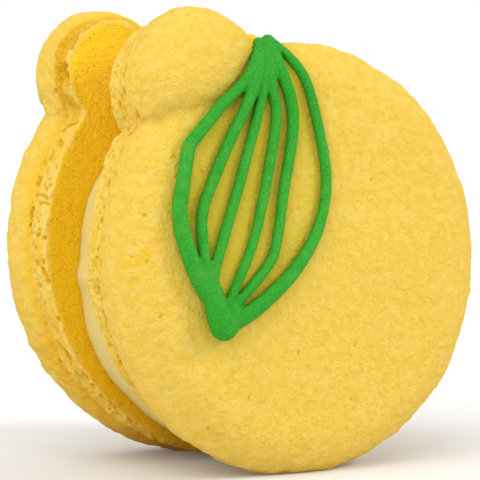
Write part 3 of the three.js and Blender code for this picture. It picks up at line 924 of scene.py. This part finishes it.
filling = {
    "radius": 21.2,
    "lowered": 1.05,
    "middle": -1,  # where the disc's faces meet in their middles
    "corner": (0.35, 0.25),  # how far the rounding runs, across and inwards
    "waveReach": 1.5,  # how far inwards the waves run out
    "bulge": 0.12,
    "rings": 25,
    "faceRings": (9, 4, 1.2),
    "waves": (0.3, 9),  # height, then length
    "ripples": (0.05, 2.2),
    "seed": 71,
    # where, in degrees from +X towards +Z, how far out, and how wide
    "bulges": ((156, 0.5, 14), (181, 0.5, 3.5)),
    "columns": 720,
    "colour": (0.62, 0.5, 0.16),
    "paleColour": (0.66, 0.54, 0.19),
    "toneSize": 2.6,
    "grainSize": 0.5,
    "grainDepth": 0.04,
}


def makeFilling(material):
    half = faceGap / 2
    across, inwards = filling["corner"]
    y = np.linspace(half, -half, filling["rings"])
    closed = np.sqrt(np.maximum(1 - np.clip((np.abs(y) - half + across) / across, 0, 1) ** 2, 0))
    inset = inwards * (1 - closed) - filling["bulge"] * (1 - (y / half) ** 2)
    rings = filling["faceRings"]
    inner = np.array([*((half, k) for k in rings), *zip(y, inset), *((-half, k) for k in rings[::-1])])
    angle = np.arange(filling["columns"]) / filling["columns"] * 2 * math.pi
    radius = filling["radius"] - inner[:, 1:2]
    grid = np.stack([
        radius * np.cos(angle), np.repeat(inner[:, :1], len(angle), axis=1), radius * np.sin(angle),
    ], axis=-1)
    outside = rise(filling["waveReach"], 0, inner[:, 1:2])
    (high, long), (fineHigh, fineLong) = filling["waves"], filling["ripples"]
    wave = high * softNoise(grid * (1, 0, 1), long, filling["seed"])
    wave += fineHigh * softNoise(grid, fineLong, filling["seed"] + 1)
    for where, height, width in filling["bulges"]:
        wave += height * np.exp(-(((np.degrees(angle) - where) / width) ** 2))
    grid *= 1 + (wave * outside / filling["radius"])[..., None] * np.array((1, 0, 1))
    grid[..., 2] -= filling["lowered"]
    middles = [(0, half, filling["middle"]), (0, -half, filling["middle"])]
    points = np.concatenate([grid.reshape(-1, 3), middles])
    faces = gridFaces(*grid.shape[:2], False)
    makeObject("creamFilling", points, faces, {}, material, "filling")


def makeCreamMaterial():
    shader = Shader("creamFilling")
    place = shader.place()
    tone = shader.ramp(shader.noise(place, filling["toneSize"], 4, 0.55), (0.35, 0), (0.7, 1))
    grain = shader.noise(place, filling["grainSize"], 3, 0.6)
    return shader.finish(**{
        "Base Color": shader.mix(tone, filling["colour"], filling["paleColour"]),
        "Roughness": 0.5 + 0.15 * grain,
        "Normal": shader.bump(grain, filling["grainDepth"], 0.6),
        "Specular IOR Level": 0.35,
        "Subsurface Weight": 0.2,
        "Subsurface Radius": (1.0, 0.75, 0.4),
        "Subsurface Scale": 0.0012,
    })


leaf = {
    # points (x, z) on the front dome, and thickness at the start, the middle and the end
    "strands": [
        ([(-5.2, 25), (-6.7, 22.8), (-7.6, 21.4), (-9.1, 19.7), (-11.6, 17.8), (-14.4, 15.7),
          (-16.3, 13.9), (-16.9, 12.9), (-17.5, 10.7), (-18.1, 8), (-18.4, 6.1), (-18, 3), (-16.7, -0.8),
          (-15.3, -3.3)], (1.2, 1.6, 2.1)),
        ([(-4.9, 25), (-5.8, 23.2), (-8.1, 19.4), (-11.3, 14.4), (-14, 9.5), (-15.6, 5.6),
          (-15.5, 1), (-14.8, -3.4)], (1.4, 1.4, 1.3)),
        ([(-4.3, 25), (-5.8, 22), (-8.2, 15.6), (-11, 8.1), (-13.3, 2.2), (-14.4, -1.2),
          (-14.3, -3.9)], (1.2, 1.3, 1.3)),
        ([(-3.8, 24.9), (-5.1, 22), (-5.5, 19.4), (-5.4, 16.1), (-7.4, 8), (-9.4, 2),
          (-12.7, -4.6)], (1.3, 1.3, 1.1)),
        ([(-3.3, 24.8), (-4.1, 22.3), (-3.1, 16.3), (-4.9, 7.9), (-6.3, 1.9), (-7.7, -0.6),
          (-11.8, -4.8)], (1.6, 1.3, 1.2)),
        ([(-3, 24.7), (-2.3, 23.2), (-0.5, 19.3), (0.9, 10.3), (-0.3, 4.2), (-3.7, -0.7),
          (-8.8, -4.8), (-12.9, -6.9)], (1.2, 1.3, 2.1)),
        ([(-14.7, -2.8), (-14.4, -4.8), (-13.7, -6.9)], (2.2, 2.9, 3.2)),
        ([(-12.9, -4.4), (-12.3, -5.4), (-12.9, -6.9)], (1.6, 2.5, 2.5)),
    ],
    "flatness": 0.92,
    "sunk": 0.12,  # how deep a strand presses into the dome
    "stiffness": 6,  # steps each way over which dips are evened out
    "paintedTone": 2.0,  # how far the painted green shade reaches over the dome
    "shadeOutside": 0.45,  # its strength outside the outer strands
    "shadeEdge": 0.6,
    "shadeStarts": (-7, -6),  # up from the middle
    "shadeEnds": (25, 24),
    "bridge": 0.5,  # how high a strand spans the crease of the nub
    "bridgeReach": 2.2,
    "step": 0.25,
    "sides": 20,
    "endTurns": (75, 55, 35, 15),  # the rings that round off an end, in degrees
    "voxel": 0.13,
    "softening": (0.5, 5),  # share, then times
    "colour": (0.042, 0.34, 0.018),
    "deepColour": (0.009, 0.28, 0.006),
    "paleColour": (0.09, 0.43, 0.05),
    "darkColour": (0.015, 0.24, 0.008),
    "toneSize": 1.4,
    "grainSize": 0.26,
    "grainDepth": 0.16,
    "height": 60,  # above the surface at the end of the ramp
    "deepToneRamp": ((0.34, 1), (0.4, 0), (0.64, 0), (0.74, 1)),  # deeper at the bottom and the top
}


def domePoint(x, z):
    depth = shellForm["widestDepth"] + domeHeight(frontShell["dome"], x, z)
    base = np.stack([x, depth, z], axis=-1)
    depth = depth + layer(base, "waves", frontShell["seed"] + 2)
    return np.stack([x, -(faceGap / 2 + depth), z], axis=-1)


def domeNormal(x, z):
    step = 0.2
    acrossX = domePoint(x + step, z) - domePoint(x - step, z)
    acrossZ = domePoint(x, z + step) - domePoint(x, z - step)
    normal = np.cross(acrossX, acrossZ)
    return normal / np.linalg.norm(normal, axis=-1, keepdims=True)


def strandTube(points, thickness):
    flat = smoothPath(np.array(points), leaf["step"])
    x, z = flat[:, 0], flat[:, 1]
    share = np.linspace(0, 1, len(flat))
    half = np.interp(share, (0, 0.5, 1), thickness) / 2
    normal = domeNormal(x, z)
    past = fromCrease(frontShell["dome"], x, z)[2] / leaf["bridgeReach"]
    lift = half * leaf["flatness"] - leaf["sunk"] + leaf["bridge"] * np.exp(-past**2)
    spots = domePoint(x, z) + normal * lift[:, None]
    # stiff enough to bridge small dips
    window = 2 * leaf["stiffness"] + 1
    padded = np.pad(spots[:, 1], leaf["stiffness"], mode="reflect", reflect_type="odd")
    spots[:, 1] = np.convolve(padded, np.ones(window) / window, "valid")
    along = np.gradient(spots, axis=0)
    along /= np.linalg.norm(along, axis=1, keepdims=True)
    turns = np.radians(leaf["endTurns"])
    before = [(spots[0] - along[0] * half[0] * math.sin(t), 0, math.cos(t)) for t in turns]
    body = [(spot, k, 1) for k, spot in enumerate(spots)]
    after = [(spots[-1] + along[-1] * half[-1] * math.sin(t), -1, math.cos(t)) for t in turns[::-1]]
    ring = np.arange(leaf["sides"]) / leaf["sides"] * 2 * math.pi
    grid = []
    for spot, k, size in [*before, *body, *after]:
        sideways = np.cross(along[k], normal[k])
        up = np.outer(np.cos(ring), normal[k]) * leaf["flatness"]
        grid.append(spot + half[k] * size * (up + np.outer(np.sin(ring), sideways)))
    grid = np.array(grid)
    ends = [spots[0] - along[0] * half[0], spots[-1] + along[-1] * half[-1]]
    return np.concatenate([grid.reshape(-1, 3), ends]), gridFaces(*grid.shape[:2], False)


def evaluated(piece):
    bpy.context.view_layer.update()
    ready = piece.evaluated_get(bpy.context.evaluated_depsgraph_get())
    return bpy.data.meshes.new_from_object(ready)


def makeLeaf(material):
    points, faces, count = [], [], 0
    for route, thickness in leaf["strands"]:
        tube, tubeFaces = strandTube(route, thickness)
        points.append(tube)
        faces += [[count + corner for corner in face] for face in tubeFaces]
        count += len(tube)
    points = np.concatenate(points)
    piece = makeObject("icingLeaf", points, faces, {}, material, "leaf_icing")
    remesh = piece.modifiers.new("fuse", "REMESH")
    remesh.mode = "VOXEL"
    remesh.voxel_size = leaf["voxel"] * millimetre
    remesh.use_smooth_shade = True
    smooth = piece.modifiers.new("soften", "SMOOTH")
    smooth.factor, smooth.iterations = leaf["softening"]
    fused = evaluated(piece)
    piece.modifiers.clear()
    piece.data = fused
    fused.polygons.foreach_set("use_smooth", [True] * len(fused.polygons))
    print(f"icingLeaf fused: {len(fused.vertices)} points")


def makeIcingMaterial():
    shader = Shader("greenIcing")
    place = shader.place()
    grain = shader.noise(place, leaf["grainSize"], 3, 0.6)
    # the colour is deeper where the strands meet
    height = shader.node("ShaderNodeSeparateXYZ", {}, {0: place}, 2) * (1 / leaf["height"] / millimetre)
    deepTone = shader.ramp(height, *leaf["deepToneRamp"])
    tone = shader.ramp(shader.noise(place, leaf["toneSize"], 3, 0.5), (0.3, 0), (0.75, 1)) * (1 - deepTone)
    colour = shader.mix(tone, leaf["deepColour"], leaf["colour"])
    colour = shader.mix(shader.ramp(grain, (0.5, 0), (0.7, 1)) * 0.5, colour, leaf["paleColour"])
    colour = shader.mix(shader.ramp(grain, (0.3, 1), (0.45, 0)) * 0.6, colour, leaf["darkColour"])
    return shader.finish(**{
        "Base Color": colour,
        "Roughness": 0.48 + 0.15 * grain,
        "Normal": shader.bump(grain, leaf["grainDepth"]),
        "Specular IOR Level": 0.25,
        "Subsurface Weight": 0.08,
        "Subsurface Radius": (0.2, 1.0, 0.2),
        "Subsurface Scale": 0.0005,
    })


floor = {
    "size": 3000,
    "clouds": 120,
    "colour": (0.76, 0.76, 0.76),
    "tint": (0.73, 0.73, 0.73),
    "glow": 0.05,
}


def makeFloor():
    half = floor["size"] / 2 * millimetre
    mesh = bpy.data.meshes.new("floor")
    corners = [(-half, -half, 0), (half, -half, 0), (half, half, 0), (-half, half, 0)]
    mesh.from_pydata(corners, [], [(0, 1, 2, 3)])
    shader = Shader("paleFloor")
    cloud = shader.noise(shader.place(), floor["clouds"], 2)
    floorMaterial = shader.finish(**{
        "Base Color": shader.mix(cloud, floor["colour"], floor["tint"]),
        "Roughness": 0.8,
        "Specular IOR Level": 0.1,
        "Emission Color": (1.0, 1.0, 1.0),
        "Emission Strength": floor["glow"],
    })
    mesh.materials.append(floorMaterial)
    plane = bpy.data.objects.new("floor", mesh)
    bpy.context.scene.collection.objects.link(plane)


makeCamera()
makeLights()
makeFloor()
print("stage ready")

shellMaterial = makeShellMaterial()
makeShell("shellFront", frontShell, shellMaterial, "shell_front")
makeShell("shellBack", backShell, shellMaterial, "shell_back")
makeFilling(makeCreamMaterial())
makeLeaf(makeIcingMaterial())
print("pieces ready")
